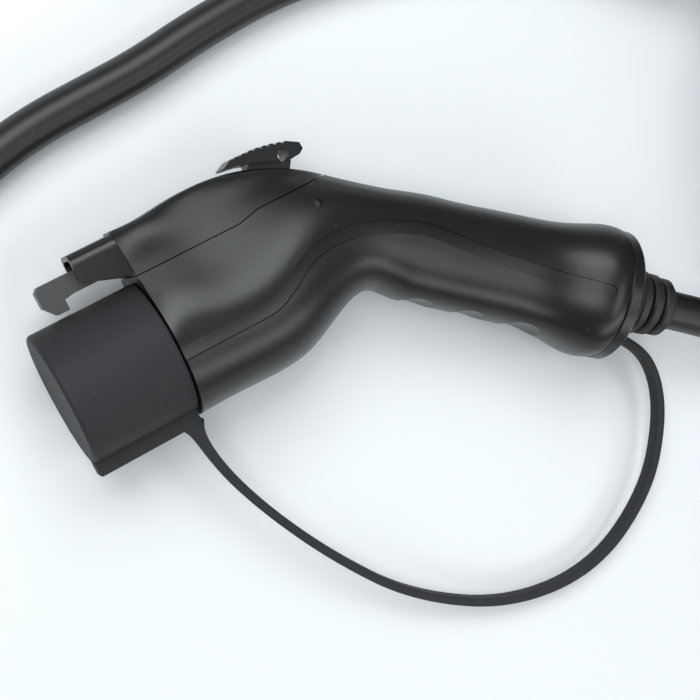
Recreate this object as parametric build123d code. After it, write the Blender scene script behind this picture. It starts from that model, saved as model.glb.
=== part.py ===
from build123d import *
import math
import os

# Single-phase electric-vehicle charging plug lying on its side: five-contact round
# nose under a tethered rubber cap, sprung latch, curved pistol grip and its cable.
# Millimetres. X runs back along the nose axis from the front face of the barrel,
# Y points to the latch side, Z is up; the plug lies with its symmetry plane level.

os.makedirs("parts", exist_ok=True)

# ---- clearances ----
seat_gap = 0.15          # between pieces of one body that seat on each other
moving_gap = 0.35        # between pieces that move past each other
seam_gap = 0.4           # moulded seam between the two housing pieces

# ---- nose ----
barrel_diameter = 43.8
barrel_wall = 2.4
nose_length = 39.5       # barrel front face to housing front face
barrel_tail = 12.0       # barrel inside the housing
core_recess = 2.0        # contact block face behind the barrel's front face
core_clearance = 0.15
power_offset = (7.85, 6.8)
ground_offset = 10.6
pilot_offset = (10.65, 5.6)
power_pin = 3.6
ground_pin = 2.8
pilot_pin = 1.5
socket_wall = 0.9
socket_entry = 1.0       # the moulded block covers the metal by this much
socket_tail = 4.0        # metal standing out behind the block
contact_play = 0.03      # radial, pin in socket

# ---- dust cap ----
cap_wall = 3.75
cap_face = 3.5
cap_rim_radius = 1.6
cap_gap = 0.35           # radial, cap on barrel
cap_stop = 0.6           # cap edge to housing front
strap_width = 6.4        # tether across
strap_thickness = 3.6
rib_height = 5.4

# ---- housing ----
housing_radius = 28.5
housing_height = 74.9    # bottom of the nose housing to the ridge
ridge_half_width = 8.0
housing_wall = 2.8
elbow_x = 131.5          # where the grip's axis meets the nose axis
grip_angle = 39.0
grip_length = 105.0      # elbow to the middle of the collar
grip_top = 21.2
grip_bottom = 21.7
grip_half_width = 19.0
collar_radius = 27.0
collar_thickness = 6.0
collar_seam = 0.6
band_depth = 0.7
band_width = 5.3
scallop_radius = 17.0
scallop_depth = 1.5
scallop_pitch = 22.5
scallop_count = 3
seam_height = 28.3
seam_rise = 1.9

# ---- latch ----
hood_half_width = 9.75
hood_wall = 2.0
hood_length = 17.9
hood_top = 45.6
arm_half_width = 3.8
arm_height = 7.6
hook_drop = 4.6
hook_front = 6.2
hook_length = 8.6
pivot_x = 72.0
pivot_y = 36.0
pivot_diameter = 4.0
latch_travel = 3.4       # degrees
button_half_width = 6.6
button_leg_half_width = 5.0
padlock_hole = 4.6
cover_pin_diameter = 3.0
cover_pin_x = 111.5
cover_pin_y = 22.0

# ---- cable ----
cable_diameter = 16.5
boot_length = 26.0
boot_ring = 1.6
ring_outer = 29.0
ring_width = 8.0
floor_z = -housing_radius
coil_columns = 2
coil_levels = 4
reach_to_coil = 125.0     # boot to the coil's outer turn

# ---- derived ----
barrel_radius = barrel_diameter / 2
neck_radius = cable_diameter / 2 + 2.75     # boot where it passes the collar and the ring
boot_radius = cable_diameter / 2 + 5.25
core_radius = barrel_radius - barrel_wall - 5.0
housing_front = nose_length
housing_bottom = -housing_radius
ridge_top = housing_height - housing_radius
turn = math.radians(grip_angle)
grip_dir = Vector(math.cos(turn), -math.sin(turn), 0)
grip_up = Vector(math.sin(turn), math.cos(turn), 0)
collar_centre = Vector(elbow_x, 0, 0) + grip_dir * grip_length
body_end = -collar_thickness / 2 - collar_seam


def grip_point(along, up, side=0.0):
    """A point given by its place along the grip axis, counted from the collar."""
    return collar_centre + grip_dir * along + grip_up * up + Vector(0, 0, side)


def grip_plane(along):
    """A plane across the grip axis, its X towards the latch side."""
    return Plane(origin=grip_point(along, 0), x_dir=grip_up, z_dir=grip_dir)


def tent_point(angle, radius, height, ridge):
    """Round below, two flat flanks above, narrow ridge on top; angle from the ridge."""
    top = height - radius
    corner = math.atan2(ridge, top)
    touch = corner + math.acos(radius / math.hypot(top, ridge))
    if angle < corner:
        reach = top / math.cos(angle)
    elif angle < touch:
        reach = radius / math.cos(angle - touch)
    else:
        reach = radius
    return radius + reach * math.cos(angle), reach * math.sin(angle)


def oval_point(angle, half_width, height, power=2.35):
    """Superellipse of the grip; angle from its top."""
    c, s = math.cos(angle), math.sin(angle)
    reach_up = math.copysign(abs(c) ** (2 / power), c) * height / 2
    return height / 2 + reach_up, abs(s) ** (2 / power) * half_width


section_angles = [0, 5, 8.2, 12, 18, 26, 36, 48, 62, 76, 90, 105, 120, 135, 150, 165, 180]


def half_section(half_width, height, oval, inset):
    """Half of a section as (v, z) places, blended from tent to oval."""
    half = []
    for degrees in section_angles:
        angle = math.radians(degrees)
        tent_v, tent_z = tent_point(angle, half_width, height, ridge_half_width)
        oval_v, oval_z = oval_point(angle, half_width, height)
        v = tent_v * (1 - oval) + oval_v * oval
        z = tent_z * (1 - oval) + oval_z * oval
        centre = half_width * (1 - oval) + height / 2 * oval
        pull = inset / math.hypot(v - centre, z)
        half.append((v - (v - centre) * pull, z * (1 - pull)))
    return half


def closed_section(half):
    """Whole section from its half, starting and ending at the bottom."""
    return [(v, z) for v, z in reversed(half)] + [(v, -z) for v, z in half[1:]]


def shared_parameters():
    """One parameter for each place round a section, the same in every section."""
    points = closed_section(half_section(housing_radius, housing_height, 0.35, 0))
    runs = [0.0]
    for (v0, z0), (v1, z1) in zip(points, points[1:]):
        runs.append(runs[-1] + math.hypot(v1 - v0, z1 - z0))
    return [run / runs[-1] for run in runs]


def section_wire(top, bottom, half_width, oval, inset):
    """Closed section through two points of the side outline."""
    up = (top - bottom).normalized()
    half = half_section(half_width, (top - bottom).length, oval, inset)
    points = [bottom + up * v + Vector(0, 0, z) for v, z in closed_section(half)[:-1]]
    return Wire([Edge.make_spline(points, periodic=True, parameters=shared_parameters())])


def nose_station(x, rise, half_width, oval):
    return (Vector(x, ridge_top + rise, 0), Vector(x, housing_bottom, 0), half_width, oval)


def elbow_station(top_x, top_y, low_x, low_y, half_width, oval):
    top = Vector(elbow_x + top_x, top_y, 0)
    return (top, Vector(elbow_x + low_x, low_y, 0), half_width, oval)


def grip_station(along, extra_up, extra_down, half_width):
    top = grip_point(along, grip_top + extra_up)
    return (top, grip_point(along, -grip_bottom - extra_down), half_width, 1.0)


def housing_stations(front, end):
    flare = collar_radius - grip_bottom
    rise = collar_radius - grip_top
    wide = collar_radius - grip_half_width
    return [
        nose_station(front, 0.0, housing_radius, 0.0),
        nose_station(housing_front + 21, 0.7, housing_radius, 0.0),
        nose_station(housing_front + 42, 1.1, housing_radius - 0.4, 0.05),
        elbow_station(-24.0, 40.2, -33.0, -22.8, housing_radius - 3.2, 0.45),
        elbow_station(-3.5, 26.6, -18.0, -17.0, grip_half_width + 2.9, 0.85),
        grip_station(-90, -0.3, 0.0, grip_half_width + 0.6),
        grip_station(-69, 0.2, 0.0, grip_half_width),
        grip_station(-48, 1.3, 0.1, grip_half_width),
        grip_station(-30, 2.4, flare * 0.2, grip_half_width + wide * 0.2),
        grip_station(-16, rise * 0.85, flare * 0.85, grip_half_width + wide * 0.8),
        grip_station(end, rise, flare, grip_half_width + wide),
    ]


def housing_form(inset, front, end):
    wires = [section_wire(top, low, wide, oval, inset)
             for top, low, wide, oval in housing_stations(front, end)]
    return Solid.make_loft(wires)


outer_form = housing_form(0, housing_front, body_end)
band_floor = housing_form(band_depth, housing_front, body_end)
cavity_form = housing_form(housing_wall, housing_front + 3.0, body_end - 3.0)
fit_form = housing_form(housing_wall + 0.3, housing_front + 3.0, body_end - 3.0)


def corner_radii(points):
    """The largest arcs that a route's runs allow, one for each inner point."""
    radii = []
    for a, b, c in zip(points, points[1:], points[2:]):
        bend = math.radians((b - a).get_angle(c - b))
        radii.append(0.45 * min((b - a).length, (c - b).length) / math.tan(bend / 2))
    return radii


def band_line():
    """Middle line of the shallow styling band on each side of the housing."""
    return [
        Vector(housing_front - 1, -3.2, 0), Vector(elbow_x - 54, -3.2, 0),
        Vector(elbow_x - 45, 0.8, 0), Vector(elbow_x - 34, 6.9, 0),
        Vector(elbow_x - 21, 8.3, 0), Vector(elbow_x - 8, 6.2, 0),
        grip_point(-92, 6.0), grip_point(-60, 1.2), grip_point(-12, -2.3),
    ]


def band_cut():
    """The band's side outline run through the housing, kept near the surface."""
    points = band_line()
    path = FilletPolyline(*points, radius=corner_radii(points))
    outline = make_face(offset(path.wire(), amount=band_width / 2, side=Side.BOTH))
    prism = extrude(outline, amount=60, both=True)
    return (prism & outer_form) - band_floor


def scallops():
    """Finger hollows across the underside of the grip."""
    cuts = []
    for k in range(scallop_count):
        along = -37.0 - k * scallop_pitch
        centre = grip_point(along, -grip_bottom - scallop_radius + scallop_depth)
        cuts.append(Pos(*centre) * Cylinder(scallop_radius, 80))
    return cuts


def seam_profile(offset_y, reach):
    """Region above the seam, which steps up a little behind the nose."""
    low = seam_height + offset_y
    points = [(0, low), (elbow_x - 50, low), (elbow_x - 41, low + seam_rise),
              (elbow_x + 20, low + seam_rise), (elbow_x + 20, reach), (0, reach)]
    return extrude(make_face(Polyline(*points, close=True)), amount=60, both=True)


def cross_cylinder(x, y, radius, half_length):
    """A cylinder along Z at a place in the side view."""
    return Pos(x, y, 0) * Cylinder(radius, 2 * half_length)


def along_x(radius, start, end, y=0.0, z=0.0):
    """A cylinder along X from start to end."""
    return Pos((start + end) / 2, y, z) * Rot(0, 90, 0) * Cylinder(radius, end - start)


def grip_cylinder(radius, start, end, up=0.0, side=0.0):
    """A cylinder along the grip axis, places counted from the collar."""
    plane = Plane(origin=grip_point(start, up, side), x_dir=grip_up, z_dir=grip_dir)
    return plane * Pos(0, 0, (end - start) / 2) * Cylinder(radius, end - start)


# ---- housing pieces ----

def housing_shell():
    shell = outer_form - cavity_form
    shell -= along_x(barrel_radius + seat_gap, housing_front - 1, housing_front + 6)
    shell -= grip_cylinder(neck_radius + 0.25, -12, 4)
    return shell


button_slot_front = 95.5
button_slot_rear = 116.5


def make_housing():
    shell = housing_shell() - band_cut()
    for cut in scallops():
        shell -= cut
    pin_hole = cross_cylinder(cover_pin_x, cover_pin_y, cover_pin_diameter / 2 + seat_gap, 40)
    body = shell - seam_profile(-seam_gap / 2, 90) - pin_hole
    cover = (shell & seam_profile(seam_gap / 2, 90)) - pin_hole
    return body.solids().sort_by(SortBy.VOLUME)[-1], cover


def latch_side(points):
    return extrude(make_face(Polyline(*points, close=True)), amount=60, both=True)


def make_cover(cover):
    """Top piece with the latch hood, its pivot ribs and the button's slot."""
    hood_front = housing_front - hood_length
    outside = [(hood_front, 35), (hood_front, hood_top), (housing_front + 3.2, hood_top),
               (housing_front + 3.2, seam_height + 0.6), (housing_front - 0.2, seam_height + 0.6)]
    hood = latch_side(outside) & (Pos(housing_front - 10, 0, 0) * Box(60, 200, 2 * hood_half_width))
    hood = fillet(hood.edges().filter_by(Axis.X).sort_by(Axis.Y)[-2:], 4.5)
    inner_top = hood_top - hood_wall
    bore = Pos(housing_front - 10, inner_top - 20, 0) * Box(80, 40, 2 * (hood_half_width - hood_wall))
    bore = fillet(bore.edges().filter_by(Axis.X).sort_by(Axis.Y)[-2:], 2.6)
    slot = Pos((button_slot_front + button_slot_rear) / 2, 40, 0)
    slot *= Box(button_slot_rear - button_slot_front, 60, 2 * (button_leg_half_width + 0.6))
    rib_low = pivot_y - 3.8
    rib_top = ridge_top - 0.2
    rib_box = Box(11, rib_top - rib_low, 2.2)
    rib_z = arm_half_width + 1.0 + moving_gap + 1.1
    ribs = [Pos(pivot_x, (rib_low + rib_top) / 2, side * rib_z) * rib_box for side in (1, -1)]
    piece = cover + hood
    piece -= bore
    piece -= slot
    for rib in ribs:
        piece += rib & outer_form
    return piece - cross_cylinder(pivot_x, pivot_y, pivot_diameter / 2 + seat_gap, rib_z + 1.2)


# ---- nose ----

def make_barrel():
    tube = along_x(barrel_radius, 0, nose_length + barrel_tail)
    tube = fillet(tube.edges().sort_by(Axis.X)[0], 0.8)
    tube -= along_x(barrel_radius - barrel_wall, -1, nose_length - 6)
    tube -= along_x(core_radius + core_clearance, -1, nose_length + barrel_tail + 1)
    flange = along_x(barrel_radius + 2.6, nose_length + 3 + seat_gap, nose_length + 6)
    flange -= along_x(barrel_radius - 1, nose_length, nose_length + 8)
    catch = Pos(8.0, barrel_radius - 0.4, 0) * Box(10, 2.0, 7.0)
    key = Pos((nose_length - 6) / 2 + 3, -barrel_radius + barrel_wall + 0.4, 0)
    key *= Box(nose_length - 13, 2.2, 3.0)
    return tube + flange - catch + key


def contact_places():
    """Name, pin diameter and (y, z) place of each contact."""
    return [
        ("power_socket_1", power_pin, (power_offset[1], power_offset[0])),
        ("power_socket_2", power_pin, (power_offset[1], -power_offset[0])),
        ("ground_socket", ground_pin, (-ground_offset, 0)),
        ("pilot_socket", pilot_pin, (-pilot_offset[1] + 1.2, pilot_offset[0] - 1.0)),
        ("proximity_socket", pilot_pin, (-pilot_offset[1] + 1.2, -pilot_offset[0] + 1.0)),
    ]


core_rear = nose_length + barrel_tail


def socket_radii(pin):
    bore = pin / 2 + contact_play
    return bore, bore + socket_wall


def make_core():
    core = along_x(core_radius, core_recess, core_rear)
    core = fillet(core.edges().sort_by(Axis.X)[0], 1.0)
    for _, pin, (y, z) in contact_places():
        bore, outside = socket_radii(pin)
        core -= along_x(outside + seat_gap, core_recess + socket_entry, core_rear + 1, y, z)
        core -= along_x(bore + 0.25, core_recess - 1, core_recess + 2, y, z)
    return core


def make_socket(pin, y, z):
    bore, outside = socket_radii(pin)
    start = core_recess + socket_entry + seat_gap
    tube = along_x(outside, start, core_rear + socket_tail, y, z)
    return tube - along_x(bore, start - 1, core_rear - 10, y, z)


def make_terminal_board():
    board = along_x(core_radius + 2.0, core_rear + seat_gap, core_rear + seat_gap + 1.6)
    for _, pin, (y, z) in contact_places():
        board -= along_x(socket_radii(pin)[1] + seat_gap, core_rear - 1, core_rear + 6, y, z)
    return board


# ---- dust cap and tether ----
cap_radius = barrel_radius + cap_wall + cap_gap
cap_rear = nose_length - cap_stop
rib_low = -(cap_radius + rib_height)


def make_cap():
    cap = along_x(cap_radius, -cap_face, cap_rear)
    cap = fillet(cap.edges().sort_by(Axis.X)[0], cap_rim_radius)
    rib = Pos((cap_rear - cap_face) / 2, -(cap_radius + rib_height) / 2, 0)
    rib *= Box(cap_rear + cap_face, cap_radius + rib_height, strap_width)
    rib = fillet(rib.edges().sort_by(Axis.Y)[0:4].filter_by(Axis.Z), 1.2)
    cap = cap + rib
    cap -= along_x(barrel_radius + cap_gap, -0.3, cap_rear + 1)
    return cap


strap_slope = 0.165      # the tether sags towards the floor as it leaves the plug


def tether_points():
    """Middle line of the tether in the side view, cap to ring."""
    return [
        (cap_rear - 3.4, rib_low + 1.0), (cap_rear - 2.6, rib_low - 14), (cap_rear + 7, -73),
        (63, -106), (86, -139), (124, -167), (167, -174), (203, -156),
        (221, -130), (226, -109), (221, -93), (lug_centre().X, lug_centre().Y),
    ]


ring_mid = collar_thickness / 2 + 0.3 + ring_width / 2


def lug_centre():
    """The ring's rounded lug, where the tether ends."""
    return grip_point(ring_mid, -ring_outer / 2 + 0.5)


def strap_height(y):
    """Height of the tether's middle, level with the axis at both moulded ends."""
    return strap_slope * (y - rib_low)


def make_tether():
    start_y = rib_low
    plane = Plane(origin=(0, start_y, 0), x_dir=(1, 0, 0),
                  z_dir=Vector(0, -strap_slope, 1).normalized())
    stretch = math.hypot(1, strap_slope)
    line = [Vector(x, (y - start_y) * stretch, 0) for x, y in tether_points()]
    path = FilletPolyline(*line, radius=corner_radii(line))
    strip = offset(path.wire(), amount=strap_thickness / 2, side=Side.BOTH)
    strap = plane * extrude(make_face(strip), amount=strap_width / 2, both=True)
    above_gap = Pos(cap_rear, rib_low - moving_gap + 5, 0) * Box(40, 10, 40)
    return strap - above_gap - ring_lug(seat_gap)


# ---- latch ----

def make_lever():
    arm_top = pivot_y + arm_height / 2 + 0.2
    arm_low = arm_top - arm_height
    outline = [
        (hook_front, arm_top - 1.6), (hook_front + 1.6, arm_top), (pivot_x + 12, arm_top),
        (pivot_x + 24, pivot_y + 0.5), (pivot_x + 40, pivot_y - 4.2), (pivot_x + 40, pivot_y - 8.4),
        (pivot_x + 24, pivot_y - 5.4), (pivot_x + 8, arm_low), (hook_front + hook_length + 4, arm_low),
        (hook_front + hook_length, arm_low - 0.6), (hook_front + hook_length, arm_low - hook_drop),
        (hook_front + 4, arm_low - hook_drop), (hook_front, arm_low),
    ]
    lever = extrude(make_face(Polyline(*outline, close=True)), amount=arm_half_width, both=True)
    boss = cross_cylinder(pivot_x, pivot_y, arm_height / 2 + 0.4, arm_half_width + 1.0)
    return lever + boss - cross_cylinder(pivot_x, pivot_y, pivot_diameter / 2 + 0.1, 20)


def lever_top(x):
    """Upper face of the lever behind the pivot."""
    near, far = pivot_x + 24, pivot_x + 40
    share = (x - near) / (far - near)
    return pivot_y + 0.5 - 4.7 * share


def make_button():
    """Ridged thumb button with a padlock hole, standing on the lever's tail."""
    base = pivot_x
    head = [
        (base + 16.5, 48.6), (base + 20.5, 50.6), (base + 30.5, 50.4), (base + 37, 49.4),
        (base + 43, 47.8), (base + 47.7, 45.2), (base + 48, 42.6), (base + 46, 41.2),
        (base + 42, 40.8), (base + 24, 47.0), (base + 17, 48.0),
    ]
    leg_front, leg_rear = base + 26, base + 38
    leg = [
        (leg_front, 47.8), (base + 45.5, 46.0), (base + 41.5, 39.5), (leg_rear + 1.5, 36.6),
        (leg_rear, lever_top(leg_rear) + 0.1), (leg_front, lever_top(leg_front) + 0.1),
    ]
    cap = extrude(make_face(Polyline(*head, close=True)), amount=button_half_width, both=True)
    stem = extrude(make_face(Polyline(*leg, close=True)), amount=button_leg_half_width, both=True)
    button = cap + stem
    for k in range(8):
        x = base + 21.5 + k * 2.9
        y = 51.1 - 0.0058 * (x - base - 20) ** 2
        button -= cross_cylinder(x, y, 0.85, 20)
    return button - cross_cylinder(base + 39.8, 43.6, padlock_hole / 2, 20)


carrier_top = 20.5
spring_x = pivot_x + 29


def make_carrier():
    plate = Pos(pivot_x + 24, carrier_top - 1.2, 0) * Box(46, 2.4, 80)
    plate = plate & fit_form
    plate -= cross_cylinder(cover_pin_x, cover_pin_y, cover_pin_diameter / 2 + seat_gap, 40)
    return plate


def make_spring():
    """Compression spring under the lever's tail."""
    wire = 0.9
    low = carrier_top + wire / 2 + 0.05
    high = pivot_y - 6.6 - wire / 2 - 0.2
    helix = Helix(pitch=(high - low) / 3.5, height=high - low, radius=3.0)
    start = Plane(origin=helix @ 0, z_dir=helix % 0)
    coil = sweep(start * Rectangle(wire, wire), path=helix)
    return Pos(spring_x, low, 0) * Rot(-90, 0, 0) * coil


def make_switch():
    case = Pos(pivot_x + 12, carrier_top + 3.6, 0) * Box(13, 6.6, 6.4)
    return case - cross_cylinder(pivot_x + 12, carrier_top + 2, 1.1, 10)


def make_cover_pin():
    return cross_cylinder(cover_pin_x, cover_pin_y, cover_pin_diameter / 2, 18)


# ---- rear of the grip ----

def make_collar():
    ring = grip_cylinder(collar_radius, -collar_thickness / 2, collar_thickness / 2)
    ring = chamfer(ring.edges().filter_by(GeomType.CIRCLE), 0.9)
    return ring - grip_cylinder(neck_radius + seat_gap, -10, 10)


def make_boot():
    """Stepped rubber strain relief: a plug through the collar and grooved rings."""
    start = -11.0
    first = ring_mid + ring_width / 2 + 0.15
    boot = grip_cylinder(neck_radius, start, first + 1)
    boot += grip_cylinder(cable_diameter / 2 + 1.6, first, boot_length + collar_thickness / 2)
    pitch = (boot_length + collar_thickness / 2 - first) / 3
    for k in range(3):
        radius = boot_radius - k * 0.7
        ring = grip_cylinder(radius, first + k * pitch, first + (k + 1) * pitch - boot_ring)
        boot += chamfer(ring.edges().filter_by(GeomType.CIRCLE), 0.8)
    return boot - grip_cylinder(cable_diameter / 2 + seat_gap, start - 1, boot_length + 10)


def ring_lug(extra):
    """Rounded lug on the ring, its axis along Z, as wide as the tether and a little more."""
    spot = lug_centre()
    lug = Cylinder(strap_thickness / 2 + 2.4 + extra, strap_width + 1.0 + 4 * extra)
    return Pos(spot.X, spot.Y, strap_height(spot.Y)) * lug


def make_tether_ring():
    ring = grip_cylinder(ring_outer / 2, ring_mid - ring_width / 2, ring_mid + ring_width / 2)
    ring = chamfer(ring.edges().filter_by(GeomType.CIRCLE), 0.9)
    ring += ring_lug(0)
    return ring - grip_cylinder(neck_radius + seat_gap, -10, 30)


def make_clamp():
    """Two saddles across the grip that hold the cable's jacket."""
    block = grip_plane(-30) * Box(120, 120, 12)
    block = block & fit_form
    block -= grip_cylinder(cable_diameter / 2 + seat_gap, -60, 0)
    slit = grip_plane(-30) * Box(0.8, 120, 20)
    return block - slit


def make_clamp_screws():
    screws = []
    for side in (1, -1):
        place = grip_plane(-30) * Pos(0, side * 13.0, 0) * Rot(0, 90, 0)
        shank = place * Cylinder(1.6, 24)
        screws.append(shank)
    return screws


def clamp_with_holes():
    clamp = make_clamp()
    for side in (1, -1):
        clamp -= grip_plane(-30) * Pos(0, side * 13.0, 0) * Rot(0, 90, 0) * Cylinder(1.6 + seat_gap, 24.4)
    return clamp


# ---- cable ----
cable_low = floor_z + cable_diameter / 2
boot_end = boot_length + collar_thickness / 2
cable_start = grip_point(boot_end, 0)
entry_start = -44.0


def cable_route():
    """Points of the cable from the boot down to the floor and on to the coil."""
    low = cable_low
    return [
        cable_start, grip_point(boot_end + 35, 0), grip_point(boot_end + 65, 0, low + 12),
        grip_point(boot_end + 95, 0, low + 3), grip_point(boot_end + reach_to_coil, 0.6, low),
    ]


def lead_route():
    """Points of the cable from the coil to its open end, lying on the floor."""
    start = coil_exit()
    away = coil_exit_heading()
    low = cable_low
    return [
        start, start + away * 45 + Vector(0, 0, -3), start + away * 90 + Vector(-1, 1, -15),
        start + away * 135 + Vector(-1, 0, -33), Vector(272, 72, low), Vector(230, 89, low),
        Vector(188, 100, low), Vector(148, 104, low), Vector(112, 101, low), Vector(84, 96.5, low),
        Vector(60, 95, low), Vector(40, 93.8, low), Vector(20, 90.4, low), Vector(-1, 84.5, low),
    ]


def tube_along(points, radius):
    """Round tube on straight runs joined by tangent arcs."""
    path = FilletPolyline(*points, radius=corner_radii(points))
    section = Plane(origin=points[0], z_dir=points[1] - points[0]) * Circle(radius)
    return path, sweep(section, path=path)


def make_tube(name, points):
    radii = corner_radii(points)
    path, tube = tube_along(points, cable_diameter / 2)
    length = sum(edge.length for edge in path.edges())
    area = math.pi * cable_diameter ** 2 / 4
    print(name, "radii", [round(r) for r in radii], "length", round(length),
          "volume ratio", round(tube.volume / (area * length), 4))
    return tube


coil_inner = 74.25
coil_outer = coil_inner + cable_diameter * (coil_columns - 1)
coil_height = coil_levels * cable_diameter
coil_exit_angle = 62.0


def coil_centre():
    """The cable's last run meets the coil's outer turn, with the coil on its left."""
    meet = grip_point(boot_end + reach_to_coil, 0)
    return meet + grip_up * coil_outer


def coil_exit_heading():
    angle = math.radians(coil_exit_angle + 90)
    return Vector(math.cos(angle), math.sin(angle), 0)


def coil_exit():
    """The cable leaves the coil's outer turn in its upper layer."""
    angle = math.radians(coil_exit_angle)
    out = Vector(math.cos(angle), math.sin(angle), 0)
    middle = coil_centre()
    level = cable_low + cable_diameter * (coil_levels - 1)
    return Vector(middle.X, middle.Y, level) + out * coil_outer


def make_coil():
    centre = coil_centre()
    ring = Cylinder(coil_outer + cable_diameter / 2, coil_height)
    ring -= Cylinder(coil_inner - cable_diameter / 2, coil_height + 2)
    ring = chamfer(ring.edges().filter_by(GeomType.CIRCLE), 4.0)
    ring = Pos(centre.X, centre.Y, floor_z + coil_height / 2) * ring
    for points in (cable_route(), lead_route()):
        ring -= tube_along(points, cable_diameter / 2 + 0.1)[1]
    return ring.solids().sort_by(SortBy.VOLUME)[-1]


def make_conductors():
    """Five stripped conductors at the open end of the cable."""
    last, before = lead_route()[-1], lead_route()[-2]
    end = Plane(origin=last, z_dir=last - before)
    wires = []
    for k in range(5):
        spot = end * Rot(0, 0, 72 * k) * Pos(4.6, 0, 11)
        wires.append(spot * Cylinder(1.7, 22))
    return wires


tie_angle = 20.0


def make_tie():
    """Hook-and-loop strap over the coil, down both its sides to the floor."""
    centre = coil_centre()
    wide = coil_outer - coil_inner + cable_diameter + 2.4
    strap = Pos(0, 0, 0.75) * Box(wide + 3.0, 20, coil_height + 1.5)
    strap -= Pos(0, 0, -1) * Box(wide, 30, coil_height + 2.2)
    reach = (coil_inner + coil_outer) / 2
    x = centre.X + reach * math.cos(math.radians(tie_angle))
    y = centre.Y + reach * math.sin(math.radians(tie_angle))
    return Pos(x, y, floor_z + coil_height / 2) * Rot(0, 0, tie_angle) * strap


def make_entry():
    """Jacketed cable inside the grip, through the clamp and the boot."""
    return grip_cylinder(cable_diameter / 2, entry_start, boot_end)


def write(name, shape):
    if isinstance(shape, (list, tuple, ShapeList)):
        shape = Compound(children=list(shape))
    export_step(shape, f"parts/{name}.step")


body, raw_cover = make_housing()
write("body_shell", body)
write("top_cover", make_cover(raw_cover))
write("nose_barrel", make_barrel())
write("contact_core", make_core())
for name, pin, (y, z) in contact_places():
    write(name, make_socket(pin, y, z))
write("terminal_board", make_terminal_board())
write("dust_cap", make_cap())
write("cap_tether", make_tether())
write("tether_ring", make_tether_ring())
write("latch_lever", make_lever())
write("thumb_button", make_button())
write("pivot_pin", cross_cylinder(pivot_x, pivot_y, pivot_diameter / 2, 7.2))
write("latch_spring", make_spring())
write("spring_carrier", make_carrier())
write("microswitch", make_switch())
write("cover_pin", make_cover_pin())
write("rear_collar", make_collar())
write("strain_relief", make_boot())
write("cable_clamp", clamp_with_holes())
write("clamp_screws", make_clamp_screws())
write("cable_entry", make_entry())
write("cable_run", make_tube("cable_run", cable_route()))
write("cable_coil", make_coil())
write("cable_lead", make_tube("cable_lead", lead_route()))
write("conductor_ends", make_conductors())
write("coil_tie", make_tie())
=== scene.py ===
import math

import bmesh
import bpy
from mathutils import Matrix, Vector


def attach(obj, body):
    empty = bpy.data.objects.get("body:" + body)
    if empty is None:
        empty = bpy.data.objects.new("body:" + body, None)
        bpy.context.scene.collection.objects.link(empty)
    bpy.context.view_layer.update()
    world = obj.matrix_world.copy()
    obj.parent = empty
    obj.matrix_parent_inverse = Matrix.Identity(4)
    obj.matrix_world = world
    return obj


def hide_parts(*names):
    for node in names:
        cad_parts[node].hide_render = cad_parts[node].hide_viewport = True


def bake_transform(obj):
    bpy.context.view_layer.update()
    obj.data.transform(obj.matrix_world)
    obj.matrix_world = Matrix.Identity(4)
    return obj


bl_info = {
    "name": "Charging plug dressing",
    "version": (1, 0, 0),
    "blender": (4, 5, 0),
    "location": "3D View > Sidebar > Plug",
    "description": "Finishes, cable and cap tether of a handheld charging plug",
    "category": "Object",
}

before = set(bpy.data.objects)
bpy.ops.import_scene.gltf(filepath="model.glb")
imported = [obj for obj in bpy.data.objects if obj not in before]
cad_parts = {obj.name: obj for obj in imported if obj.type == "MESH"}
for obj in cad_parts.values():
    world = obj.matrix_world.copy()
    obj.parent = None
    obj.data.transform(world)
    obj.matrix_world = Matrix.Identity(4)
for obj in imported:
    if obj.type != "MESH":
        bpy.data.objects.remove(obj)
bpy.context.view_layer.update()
MM = 0.001


def node_box(name):
    """Corners of a CAD node's box."""
    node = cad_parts[name]
    places = [node.matrix_world @ Vector(corner) for corner in node.bound_box]
    return [Vector([pick(place[k] for place in places) for k in range(3)]) for pick in (min, max)]


CAD_SPRING = node_box("latch_spring")

# Places of the grip, as the construction has them
ELBOW = Vector((131.5, 0, 0)) * MM
GRIP_TURN = math.radians(39.0)
GRIP_DIR = Vector((math.cos(GRIP_TURN), -math.sin(GRIP_TURN), 0))
GRIP_UP = Vector((math.sin(GRIP_TURN), math.cos(GRIP_TURN), 0))
COLLAR = ELBOW + GRIP_DIR * 105 * MM
CABLE_DIAMETER = 16.5 * MM
FLOOR_Z = -28.5 * MM
CABLE_LOW = FLOOR_Z + CABLE_DIAMETER / 2
BOOT_END = 29 * MM
REACH_TO_COIL = 125 * MM
COIL_INNER = 74.25 * MM
COIL_COLUMNS = 2
COIL_LEVELS = 4
COIL_OUTER = COIL_INNER + CABLE_DIAMETER * (COIL_COLUMNS - 1)
COIL_EXIT_ANGLE = 62.0


def grip_point(along, up=0.0, z=0.0):
    """A point by its place along the grip axis, counted from the collar's middle."""
    return COLLAR + GRIP_DIR * along + GRIP_UP * up + Vector((0, 0, z))


# ---------------------------------------------------------------- settings

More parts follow.
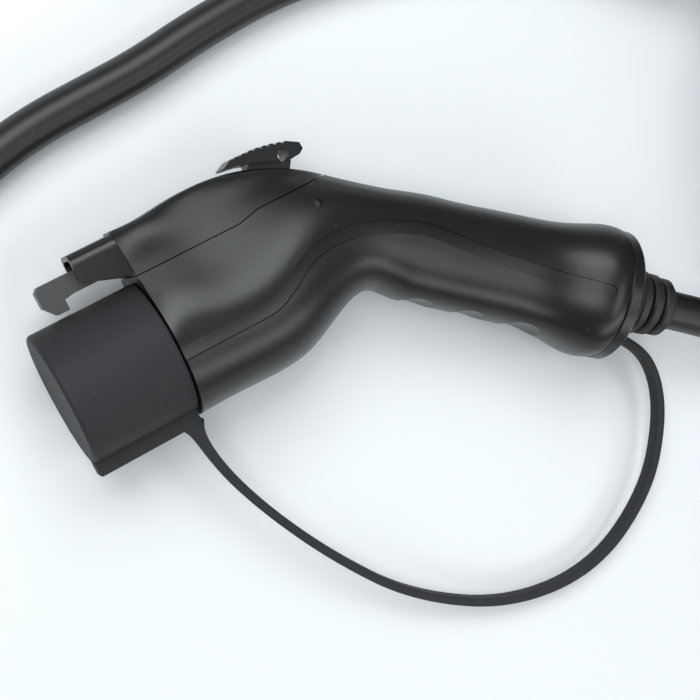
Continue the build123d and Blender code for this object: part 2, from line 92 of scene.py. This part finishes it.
class PlugColours(bpy.types.PropertyGroup):
    housing: bpy.props.FloatVectorProperty(
        name="Housing", description="Moulded housing colour", subtype="COLOR", size=3,
        default=(0.0050, 0.0056, 0.0066), min=0, max=1)
    latch: bpy.props.FloatVectorProperty(
        name="Latch", description="Latch arm colour", subtype="COLOR", size=3,
        default=(0.042, 0.0425, 0.0445), min=0, max=1)
    rubber: bpy.props.FloatVectorProperty(
        name="Rubber", description="Dust cap and tether colour", subtype="COLOR", size=3,
        default=(0.0255, 0.0265, 0.0285), min=0, max=1)
    boot: bpy.props.FloatVectorProperty(
        name="Boot", description="Strain relief colour", subtype="COLOR", size=3,
        default=(0.0105, 0.0108, 0.0118), min=0, max=1)
    jacket: bpy.props.FloatVectorProperty(
        name="Jacket", description="Cable jacket colour", subtype="COLOR", size=3,
        default=(0.006, 0.0061, 0.0066), min=0, max=1)
    floor: bpy.props.FloatVectorProperty(
        name="Floor", description="Pale floor colour", subtype="COLOR", size=3,
        default=(0.79, 0.80, 0.805), min=0, max=1)


class PlugSizes(bpy.types.PropertyGroup):
    tether_width: bpy.props.FloatProperty(
        name="Tether width", description="Width of the cap's tether", unit="LENGTH",
        default=6.4 * MM, min=3 * MM, max=12 * MM)
    tether_thickness: bpy.props.FloatProperty(
        name="Tether thickness", description="Thickness of the cap's tether", unit="LENGTH",
        default=3.6 * MM, min=1 * MM, max=8 * MM)
    key_power: bpy.props.FloatProperty(
        name="Key light", description="Power of the large overhead softbox in watts",
        default=13.5, min=0, max=200)
    grain: bpy.props.FloatProperty(
        name="Mould grain", description="Strength of the fine moulded texture",
        default=0.16, min=0, max=1)


# ---------------------------------------------------------------- shader groups

def new_group(name, inputs, outputs):
    """An empty shader group with named sockets."""
    group = bpy.data.node_groups.new(name, "ShaderNodeTree")
    for label, kind, value in inputs:
        socket = group.interface.new_socket(label, in_out="INPUT", socket_type=kind)
        if value is not None:
            socket.default_value = value
    for label, kind in outputs:
        group.interface.new_socket(label, in_out="OUTPUT", socket_type=kind)
    return group, group.nodes.new("NodeGroupInput"), group.nodes.new("NodeGroupOutput")


def math_node(group, operation, a, b=None):
    node = group.nodes.new("ShaderNodeMath")
    node.operation = operation
    for socket, value in zip(node.inputs, (a, b)):
        if value is None:
            continue
        if isinstance(value, (int, float)):
            socket.default_value = value
        else:
            group.links.new(value, socket)
    return node.outputs[0]


def noise_node(group, vector, scale, detail=3.0, rough=0.55):
    node = group.nodes.new("ShaderNodeTexNoise")
    node.inputs["Detail"].default_value = detail
    node.inputs["Roughness"].default_value = rough
    group.links.new(vector, node.inputs["Vector"])
    if isinstance(scale, (int, float)):
        node.inputs["Scale"].default_value = scale
    else:
        group.links.new(scale, node.inputs["Scale"])
    return node.outputs["Fac"]


def grain_group():
    """Fine eroded mould texture: a height made of two sizes of grain."""
    group, inp, out = new_group(
        "mould_grain",
        [("Vector", "NodeSocketVector", None), ("Scale", "NodeSocketFloat", 2600.0)],
        [("Height", "NodeSocketFloat"), ("Mask", "NodeSocketFloat")])
    fine = noise_node(group, inp.outputs["Vector"], inp.outputs["Scale"], 2.0)
    wide = noise_node(group, inp.outputs["Vector"], math_node(group, "MULTIPLY", inp.outputs["Scale"], 0.22), 2.0)
    total = math_node(group, "ADD", math_node(group, "MULTIPLY", fine, 0.7), math_node(group, "MULTIPLY", wide, 0.3))
    group.links.new(total, out.inputs["Height"])
    group.links.new(wide, out.inputs["Mask"])
    return group


def handling_group():
    """Slow drift of gloss and tone, with faint rubbed streaks from handling."""
    group, inp, out = new_group(
        "handling_drift",
        [("Vector", "NodeSocketVector", None), ("Roughness", "NodeSocketFloat", 0.4),
         ("Spread", "NodeSocketFloat", 0.06), ("Colour", "NodeSocketColor", (0.02, 0.02, 0.02, 1.0)),
         ("Lift", "NodeSocketFloat", 0.18)],
        [("Roughness", "NodeSocketFloat"), ("Colour", "NodeSocketColor")])
    slow = noise_node(group, inp.outputs["Vector"], 14.0, 3.0)
    streak_map = group.nodes.new("ShaderNodeMapping")
    streak_map.inputs["Scale"].default_value = (1.0, 4.5, 2.0)
    streak_map.inputs["Rotation"].default_value = (0, 0, GRIP_TURN)
    group.links.new(inp.outputs["Vector"], streak_map.inputs["Vector"])
    streak = noise_node(group, streak_map.outputs["Vector"], 60.0, 4.0, 0.62)
    both = math_node(group, "ADD", math_node(group, "MULTIPLY", slow, 0.6), math_node(group, "MULTIPLY", streak, 0.4))
    centred = math_node(group, "SUBTRACT", both, 0.5)
    drift = math_node(group, "MULTIPLY", centred, inp.outputs["Spread"])
    group.links.new(math_node(group, "ADD", inp.outputs["Roughness"], math_node(group, "MULTIPLY", drift, 2.0)),
                    out.inputs["Roughness"])
    tone = group.nodes.new("ShaderNodeHueSaturation")
    group.links.new(inp.outputs["Colour"], tone.inputs["Color"])
    lift = math_node(group, "MULTIPLY", centred, inp.outputs["Lift"])
    group.links.new(math_node(group, "ADD", math_node(group, "MULTIPLY", lift, 2.0), 1.0), tone.inputs["Value"])
    group.links.new(tone.outputs["Color"], out.inputs["Colour"])
    return group


def dust_group():
    """A few pale specks of dust."""
    group, inp, out = new_group(
        "dust_specks",
        [("Vector", "NodeSocketVector", None), ("Colour", "NodeSocketColor", (0.02, 0.02, 0.02, 1.0)),
         ("Amount", "NodeSocketFloat", 0.35)],
        [("Colour", "NodeSocketColor")])
    cell = group.nodes.new("ShaderNodeTexVoronoi")
    cell.inputs["Scale"].default_value = 230.0
    group.links.new(inp.outputs["Vector"], cell.inputs["Vector"])
    near = math_node(group, "LESS_THAN", cell.outputs["Distance"], 0.055)
    rare = math_node(group, "GREATER_THAN", noise_node(group, inp.outputs["Vector"], 90.0, 1.0), 0.6)
    mask = math_node(group, "MULTIPLY", math_node(group, "MULTIPLY", near, rare), inp.outputs["Amount"])
    mix = group.nodes.new("ShaderNodeMix")
    mix.data_type = "RGBA"
    group.links.new(mask, mix.inputs["Factor"])
    group.links.new(inp.outputs["Colour"], mix.inputs["A"])
    mix.inputs["B"].default_value = (0.32, 0.32, 0.33, 1.0)
    group.links.new(mix.outputs["Result"], out.inputs["Colour"])
    return group


def moulded_material(name, colour, roughness, grain_scale, grain, spread=0.05, lift=0.16,
                     dust=0.0, coat=0.0, specular=0.5, metallic=0.0):
    """Plastic, rubber or metal with mould grain, handling drift and dust."""
    material = bpy.data.materials.new(name)
    material.use_nodes = True
    nodes, links = material.node_tree.nodes, material.node_tree.links
    shader = nodes["Principled BSDF"]
    place = nodes.new("ShaderNodeTexCoord").outputs["Object"]
    drift = nodes.new("ShaderNodeGroup")
    drift.node_tree = GROUPS["handling"]
    links.new(place, drift.inputs["Vector"])
    drift.inputs["Roughness"].default_value = roughness
    drift.inputs["Spread"].default_value = spread
    drift.inputs["Colour"].default_value = (*colour, 1.0)
    drift.inputs["Lift"].default_value = lift
    speck = nodes.new("ShaderNodeGroup")
    speck.node_tree = GROUPS["dust"]
    links.new(place, speck.inputs["Vector"])
    links.new(drift.outputs["Colour"], speck.inputs["Colour"])
    speck.inputs["Amount"].default_value = dust
    links.new(speck.outputs["Colour"], shader.inputs["Base Color"])
    links.new(drift.outputs["Roughness"], shader.inputs["Roughness"])
    texture = nodes.new("ShaderNodeGroup")
    texture.node_tree = GROUPS["grain"]
    links.new(place, texture.inputs["Vector"])
    texture.inputs["Scale"].default_value = grain_scale
    bump = nodes.new("ShaderNodeBump")
    bump.inputs["Strength"].default_value = grain
    bump.inputs["Distance"].default_value = 0.0002
    links.new(texture.outputs["Height"], bump.inputs["Height"])
    links.new(bump.outputs["Normal"], shader.inputs["Normal"])
    shader.inputs["Coat Weight"].default_value = coat
    shader.inputs["Coat Roughness"].default_value = 0.2
    shader.inputs["Specular IOR Level"].default_value = specular
    shader.inputs["Metallic"].default_value = metallic
    return material


def dress(material, *names):
    """Gives CAD nodes their finish."""
    for name in names:
        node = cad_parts[name]
        if not node.material_slots:
            node.data.materials.append(None)
        for slot in node.material_slots:
            slot.material = material


GROUPS = {}


def colours():
    return bpy.context.scene.plug_colours


def sizes():
    return bpy.context.scene.plug_sizes


# ---------------------------------------------------------------- cable

def cable_route():
    low = CABLE_LOW
    return [
        grip_point(BOOT_END), grip_point(BOOT_END + 35 * MM),
        grip_point(BOOT_END + 65 * MM, 0, low + 12 * MM),
        grip_point(BOOT_END + 95 * MM, 0, low + 3 * MM),
    ]


def coil_middle():
    return grip_point(BOOT_END + REACH_TO_COIL) + GRIP_UP * COIL_OUTER


def coil_turns(per_turn=16):
    """Outer and inner turn of each layer in order, from the floor up."""
    columns = [1, 0, 0, 1] * (COIL_LEVELS // 2)
    levels = [k // COIL_COLUMNS for k in range(len(columns))]
    middle = coil_middle()
    start = math.degrees(math.atan2(-GRIP_UP.y, -GRIP_UP.x))
    total = 360 * len(columns) - ((start - COIL_EXIT_ANGLE) % 360)
    steps = round(total / 360 * per_turn)
    widen = 2 / (1 + math.cos(math.pi / per_turn))
    points = []
    for k in range(1, steps):
        turned = total * k / steps
        place = turned / total * len(columns)
        now = min(int(place), len(columns) - 1)
        after = min(now + 1, len(columns) - 1)
        share = max(0.0, (place - now - 0.75) / 0.25)
        column = columns[now] + (columns[after] - columns[now]) * share
        level = levels[now] + (levels[after] - levels[now]) * share
        radius = (COIL_INNER + CABLE_DIAMETER * column) * widen
        angle = math.radians(start + turned)
        points.append(Vector((middle.x + radius * math.cos(angle), middle.y + radius * math.sin(angle),
                              CABLE_LOW + CABLE_DIAMETER * level)))
    return points


def lead_route():
    angle = math.radians(COIL_EXIT_ANGLE)
    out = Vector((math.cos(angle), math.sin(angle), 0))
    away = Vector((-math.sin(angle), math.cos(angle), 0))
    level = CABLE_LOW + CABLE_DIAMETER * (COIL_LEVELS - 1)
    start = coil_middle() + out * COIL_OUTER
    start.z = level
    low = CABLE_LOW / MM
    along = [(272, 72), (230, 89), (188, 100), (148, 104), (112, 101), (84, 96.5), (60, 95),
             (40, 93.8), (20, 90.4), (-1, 84.5)]
    points = [start, start + away * 45 * MM + Vector((0, 0, -3)) * MM,
              start + away * 90 * MM + Vector((-1, 1, -15)) * MM,
              start + away * 135 * MM + Vector((-1, 0, -33)) * MM]
    return points + [Vector((x, y, low)) * MM for x, y in along]


def nurbs_line(name, points):
    """An open NURBS curve whose control points are the route's points."""
    curve = bpy.data.curves.new(name, "CURVE")
    curve.dimensions = "3D"
    spline = curve.splines.new("NURBS")
    spline.points.add(len(points) - 1)
    for target, point in zip(spline.points, points):
        target.co = (*point, 1.0)
    spline.order_u = 3
    spline.use_endpoint_u = True
    curve.resolution_u = 10
    obj = bpy.data.objects.new(name, curve)
    bpy.context.collection.objects.link(obj)
    return obj


def line_points(curve):
    """Points along a bevel-free curve."""
    bpy.context.view_layer.update()
    mesh = bpy.data.meshes.new_from_object(curve.evaluated_get(bpy.context.evaluated_depsgraph_get()))
    points = [vertex.co.copy() for vertex in mesh.vertices]
    bpy.data.meshes.remove(mesh)
    return points


def path_length(points):
    return sum((b - a).length for a, b in zip(points, points[1:]))


class PLUG_OT_cable(bpy.types.Operator):
    """Lay the cable from the boot through its coil to the open end"""
    bl_idname = "plug.cable"
    bl_label = "Cable"

    def execute(self, context):
        route = cable_route() + coil_turns() + lead_route()
        cable = nurbs_line("cable", route)
        length = path_length(line_points(cable))
        cable.data.bevel_depth = CABLE_DIAMETER / 2
        cable.data.bevel_resolution = 6
        cable.data.use_fill_caps = True
        jacket = moulded_material("cable_jacket", colours().jacket, 0.42, 1500.0, 0.14, spread=0.08, dust=0.25)
        cable.data.materials.append(jacket)
        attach(cable, "housing")
        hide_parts("cable_run", "cable_coil", "cable_lead")
        dress(jacket, "cable_entry")
        dress(moulded_material("wire_ends", (0.30, 0.11, 0.035), 0.4, 900.0, 0.05), "conductor_ends")
        dress(moulded_material("tie_weave", (0.02, 0.02, 0.021), 0.85, 1200.0, 0.6), "coil_tie")
        return {"FINISHED"}


# ---------------------------------------------------------------- tether

CAP_REAR = 38.9
RIB_LOW = -31.4
STRAP_SLOPE = 0.165
RING_MID = 7.3


def tether_route():
    """Middle line of the tether, from the cap's rib round to the ring's lug."""
    lug = grip_point(RING_MID * MM, -14 * MM) / MM
    side = [(CAP_REAR - 3.4, RIB_LOW + 0.6), (CAP_REAR - 2.6, RIB_LOW - 14), (CAP_REAR + 7, -73),
            (63, -106), (86, -139), (124, -167), (167, -174), (203, -156),
            (221, -130), (226, -109), (221, -93), (lug.x + 1.5, lug.y - 2.6)]
    return [Vector((x, y, STRAP_SLOPE * (y - RIB_LOW))) * MM for x, y in side]


def sweep_strap(points, width, thickness):
    """A rounded strap carried along a line, thicker where it is moulded on at its ends."""
    flat = Vector((0, -STRAP_SLOPE, 1)).normalized()
    total = path_length(points)
    bm = bmesh.new()
    first = bmesh.ops.create_circle(bm, cap_ends=False, segments=20, radius=1.0)["verts"]
    shape = [vertex.co.copy() for vertex in first]
    ring = list(first)
    edges = [edge for edge in bm.edges]
    run = 0.0
    for k, point in enumerate(points):
        before = points[max(k - 1, 0)]
        after = points[min(k + 1, len(points) - 1)]
        run += (point - before).length
        across = flat.cross((after - before).normalized()).normalized()
        thick = thickness * (1 + 1.5 * math.exp(-run / (3.6 * MM)) + 0.9 * math.exp(-(total - run) / (4 * MM)))
        if k:
            made = bmesh.ops.extrude_edge_only(bm, edges=edges)["geom"]
            edges = [item for item in made if isinstance(item, bmesh.types.BMEdge)]
            ring = sorted((item for item in made if isinstance(item, bmesh.types.BMVert)), key=lambda v: v.index)
            ring = match_ring(ring, last)
        for vertex, place in zip(ring, shape):
            x = math.copysign(abs(place.x) ** 0.26, place.x)
            y = math.copysign(abs(place.y) ** 0.26, place.y)
            vertex.co = point + across * (x * thick / 2) + flat * (y * width / 2)
        last = [vertex.co.copy() for vertex in ring]
        if k in (0, len(points) - 1):
            bmesh.ops.contextual_create(bm, geom=edges)
    bmesh.ops.recalc_face_normals(bm, faces=bm.faces)
    return bm


def match_ring(ring, last):
    """Orders a new ring's corners as those of the ring that it was drawn from."""
    left = list(ring)
    ordered = []
    for place in last:
        best = min(left, key=lambda vertex: (vertex.co - place).length_squared)
        left.remove(best)
        ordered.append(best)
    return ordered


def finish_mesh(name, bm, material, body, smooth_angle=40.0):
    mesh = bpy.data.meshes.new(name)
    bm.to_mesh(mesh)
    bm.free()
    mesh.shade_smooth()
    mesh.set_sharp_from_angle(angle=math.radians(smooth_angle))
    obj = bpy.data.objects.new(name, mesh)
    bpy.context.collection.objects.link(obj)
    mesh.materials.append(material)
    if body:
        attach(obj, body)
    return obj


class PLUG_OT_cap(bpy.types.Operator):
    """Finish the dust cap and model its tether"""
    bl_idname = "plug.cap"
    bl_label = "Dust cap and tether"

    def execute(self, context):
        rubber = moulded_material("cap_rubber", colours().rubber, 0.6, 1900.0, 0.22, spread=0.05, dust=0.3,
                                  specular=0.2)
        dress(rubber, "dust_cap", "tether_ring")
        guide = nurbs_line("tether_guide", tether_route())
        points = line_points(guide)
        bpy.data.objects.remove(guide)
        bm = sweep_strap(points, sizes().tether_width, sizes().tether_thickness)
        strap = finish_mesh("tether_strap", bm, rubber, None, 35.0)
        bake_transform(strap)
        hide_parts("cap_tether")
        return {"FINISHED"}


# ---------------------------------------------------------------- CAD finishes

class PLUG_OT_housing(bpy.types.Operator):
    """Finish the moulded housing, its cover, collar and boot"""
    bl_idname = "plug.housing"
    bl_label = "Housing"

    def execute(self, context):
        shell = moulded_material("housing_satin", colours().housing, 0.33, 2600.0, sizes().grain, spread=0.045,
                                 lift=0.12, dust=0.35, specular=0.5)
        dress(shell, "body_shell", "top_cover", "rear_collar", "thumb_button", "nose_barrel")
        boot = moulded_material("boot_rubber", colours().boot, 0.5, 1700.0, 0.2, dust=0.25)
        dress(boot, "strain_relief")
        return {"FINISHED"}


SPRING_X = CAD_SPRING[0].x / 2 + CAD_SPRING[1].x / 2
SPRING_RADIUS = 3.0 * MM
SPRING_WIRE = 0.9 * MM
SPRING_TURNS = 3.5


def spring_mesh(steps=84, around=8):
    """A round wire wound upwards, as high as the spring that it stands for."""
    low = CAD_SPRING[0].y + SPRING_WIRE / 2
    high = CAD_SPRING[1].y - SPRING_WIRE / 2
    bm = bmesh.new()
    rings = []
    for k in range(steps + 1):
        share = k / steps
        angle = math.tau * SPRING_TURNS * share
        out = Vector((math.cos(angle), 0, math.sin(angle)))
        middle = Vector((SPRING_X, low + (high - low) * share, 0)) + out * SPRING_RADIUS
        ring = []
        for j in range(around):
            turn = math.tau * j / around
            ring.append(bm.verts.new(middle + (out * math.cos(turn) + Vector((0, math.sin(turn), 0))) * SPRING_WIRE / 2))
        rings.append(ring)
    for first, second in zip(rings, rings[1:]):
        for j in range(around):
            bm.faces.new((first[j], first[j - 1], second[j - 1], second[j]))
    for ring in (rings[0], rings[-1]):
        bm.faces.new(ring)
    bmesh.ops.recalc_face_normals(bm, faces=bm.faces)
    return bm


class PLUG_OT_latch(bpy.types.Operator):
    """Finish the latch arm and the parts behind it"""
    bl_idname = "plug.latch"
    bl_label = "Latch"

    def execute(self, context):
        arm = moulded_material("latch_satin", colours().latch, 0.42, 2200.0, 0.15)
        dress(arm, "latch_lever")
        steel = moulded_material("plain_steel", (0.55, 0.55, 0.56), 0.3, 800.0, 0.04, metallic=1.0)
        dress(steel, "pivot_pin", "latch_spring", "clamp_screws")
        spring = finish_mesh("latch_coil", spring_mesh(), steel, None)
        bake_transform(spring)
        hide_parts("latch_spring")
        blackened = moulded_material("blackened_pin", (0.03, 0.03, 0.032), 0.4, 800.0, 0.05)
        dress(blackened, "cover_pin")
        inner = moulded_material("inner_plastic", (0.04, 0.04, 0.043), 0.5, 1500.0, 0.1)
        dress(inner, "spring_carrier", "microswitch", "cable_clamp")
        return {"FINISHED"}


class PLUG_OT_contacts(bpy.types.Operator):
    """Finish the contact block and its five sockets"""
    bl_idname = "plug.contacts"
    bl_label = "Contacts"

    def execute(self, context):
        block = moulded_material("contact_block", (0.02, 0.02, 0.021), 0.45, 2000.0, 0.15)
        dress(block, "contact_core")
        silver = moulded_material("plated_contact", (0.78, 0.76, 0.7), 0.25, 900.0, 0.03, metallic=1.0)
        dress(silver, "power_socket_1", "power_socket_2", "ground_socket", "pilot_socket", "proximity_socket")
        dress(moulded_material("terminal_board", (0.02, 0.09, 0.045), 0.45, 900.0, 0.05), "terminal_board")
        return {"FINISHED"}


# ---------------------------------------------------------------- stage

def soft_light(name, place, target, size, power, colour=(0.93, 0.975, 1.0)):
    data = bpy.data.lights.new(name, "AREA")
    data.shape = "RECTANGLE"
    data.size, data.size_y = size
    data.energy = power
    data.color = colour
    lamp = bpy.data.objects.new(name, data)
    lamp.location = place
    lamp.rotation_euler = (Vector(target) - Vector(place)).to_track_quat("-Z", "Y").to_euler()
    bpy.context.collection.objects.link(lamp)
    return lamp


def add_camera():
    data = bpy.data.cameras.new("studio_camera")
    data.sensor_width = 36.0
    data.lens = 70.65
    camera = bpy.data.objects.new("studio_camera", data)
    right = Vector((0.83805, -0.43583, 0.32821))
    up = Vector((0.46307, 0.88631, -0.00546))
    back = right.cross(up).normalized()
    up = back.cross(right.normalized())
    camera.matrix_world = matrix_from(right.normalized(), up, back, Vector((-50.2, 48.4, 503.2)) * MM)
    bpy.context.collection.objects.link(camera)
    bpy.context.scene.camera = camera


def matrix_from(right, up, back, place):
    return Matrix((
        (right.x, up.x, back.x, place.x), (right.y, up.y, back.y, place.y),
        (right.z, up.z, back.z, place.z), (0, 0, 0, 1)))


class PLUG_OT_stage(bpy.types.Operator):
    """Pale floor, soft light and camera"""
    bl_idname = "plug.stage"
    bl_label = "Stage"

    def execute(self, context):
        bm = bmesh.new()
        bmesh.ops.create_grid(bm, x_segments=2, y_segments=2, size=4.0)
        bmesh.ops.translate(bm, verts=bm.verts, vec=(0.1, 0, FLOOR_Z - 0.1 * MM))
        mesh = bpy.data.meshes.new("floor")
        bm.to_mesh(mesh)
        bm.free()
        floor = bpy.data.objects.new("floor", mesh)
        context.collection.objects.link(floor)
        pale = bpy.data.materials.new("pale_floor")
        pale.use_nodes = True
        shader = pale.node_tree.nodes["Principled BSDF"]
        shader.inputs["Base Color"].default_value = (*colours().floor, 1)
        shader.inputs["Roughness"].default_value = 0.55
        mesh.materials.append(pale)
        world = bpy.data.worlds.new("studio")
        world.use_nodes = True
        world.node_tree.nodes["Background"].inputs["Color"].default_value = (0.93, 0.96, 1.0, 1)
        world.node_tree.nodes["Background"].inputs["Strength"].default_value = 0.2
        context.scene.world = world
        soft_light("overhead", (0.08, 0.75, 1.05), (0.1, -0.02, 0), (1.2, 0.75), sizes().key_power)
        soft_light("fill", (-0.35, 0.15, 1.25), (0.08, -0.03, 0), (0.6, 0.6), 5.5)
        soft_light("low_side", (0.25, -0.95, 0.6), (0.12, -0.03, 0), (1.2, 0.3), 4.0)
        soft_light("belly", (0.5, -0.51, 1.16), (0.12, -0.03, 0), (0.8, 0.3), 2.8)
        soft_light("nose_side", (-0.9, -0.1, 0.5), (0.05, 0, 0), (0.6, 0.4), 0.5)
        add_camera()
        context.scene.view_settings.view_transform = "Standard"
        return {"FINISHED"}


class PLUG_PT_panel(bpy.types.Panel):
    """The plug's steps and settings"""
    bl_label = "Charging plug"
    bl_idname = "PLUG_PT_panel"
    bl_space_type = "VIEW_3D"
    bl_region_type = "UI"
    bl_category = "Plug"

    def draw(self, context):
        layout = self.layout
        for name in STEPS:
            layout.operator(f"plug.{name}")
        for settings in (context.scene.plug_colours, context.scene.plug_sizes):
            for key in settings.__annotations__:
                layout.prop(settings, key)


STEPS = ("stage", "cable", "cap", "housing", "latch", "contacts")
CLASSES = (PlugColours, PlugSizes, PLUG_OT_stage, PLUG_OT_cable, PLUG_OT_cap, PLUG_OT_housing, PLUG_OT_latch,
           PLUG_OT_contacts, PLUG_PT_panel)


def register():
    for cls in CLASSES:
        bpy.utils.register_class(cls)
    bpy.types.Scene.plug_colours = bpy.props.PointerProperty(type=PlugColours)
    bpy.types.Scene.plug_sizes = bpy.props.PointerProperty(type=PlugSizes)


def unregister():
    del bpy.types.Scene.plug_sizes
    del bpy.types.Scene.plug_colours
    for cls in reversed(CLASSES):
        bpy.utils.unregister_class(cls)


def main():
    register()
    GROUPS.update(grain=grain_group(), handling=handling_group(), dust=dust_group())
    for name in STEPS:
        getattr(bpy.ops.plug, name)()


if __name__ == "__main__":
    main()
